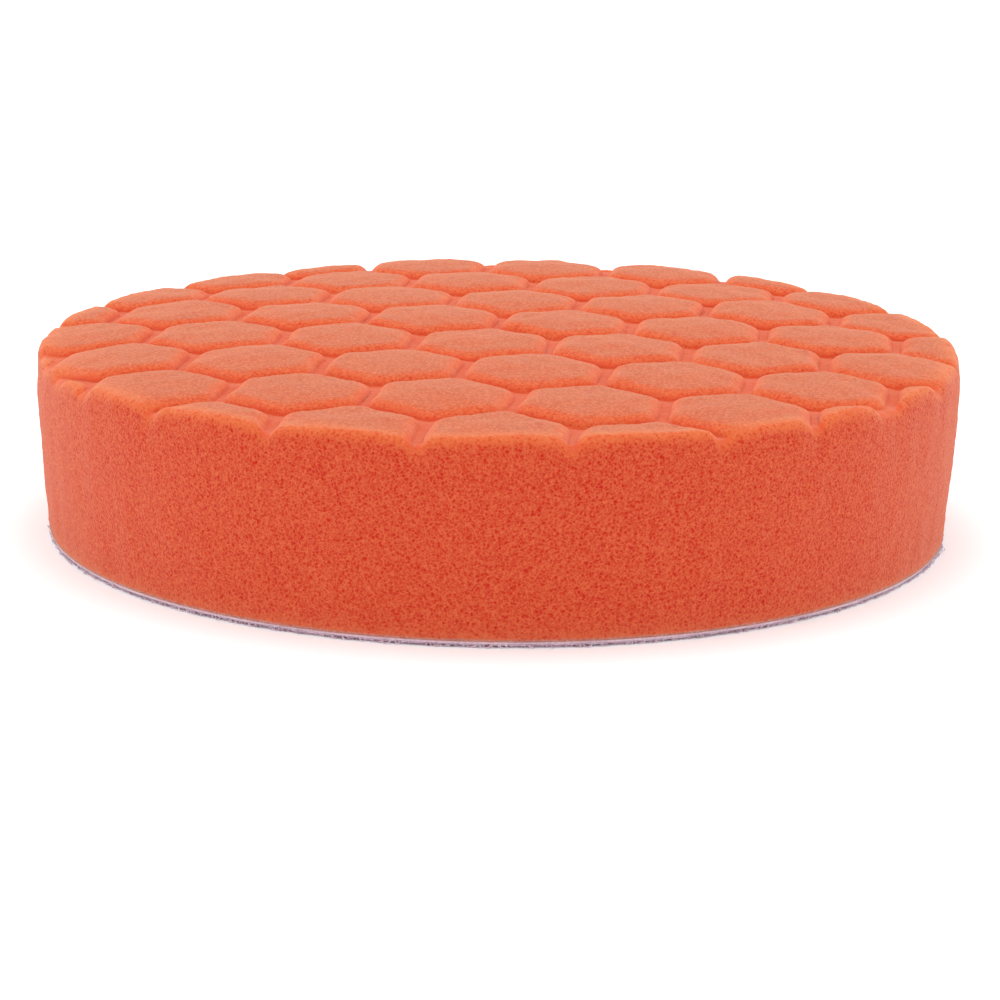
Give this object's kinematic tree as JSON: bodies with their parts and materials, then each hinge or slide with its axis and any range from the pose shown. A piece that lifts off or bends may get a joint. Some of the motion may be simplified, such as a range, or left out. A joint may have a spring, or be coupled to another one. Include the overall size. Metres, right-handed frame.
{
  "type": "foam polishing pad",
  "caption": "Round orange foam polishing pad with a face of pressed hexagonal pillows and a pale loop-fabric back that grips a hook-faced backing plate.",
  "frame": {"origin": "centre of the loop face, where the pad meets the backing plate", "axes": "+Z along the pad's axis of rotation, from the loop face to the working face; +X is the operator's right when the pad lies loop side down"},
  "size_m": [0.1524, 0.1524, 0.0332],
  "materials": {
    "foam": "matte open-cell polyurethane foam, orange",
    "adhesive": "thin translucent hot-melt film, tinted by the foam behind it",
    "ground_cloth": "fine warp-knitted polyester, matte",
    "loop_pile": "brushed nylon loops, pale, fuzzy"
  },
  "bodies": {
    "root": {"foam_body": "foam", "adhesive_film": "adhesive", "backing_cloth": "ground_cloth", "loop_pile": "loop_pile"}
  },
  "joints": []
}
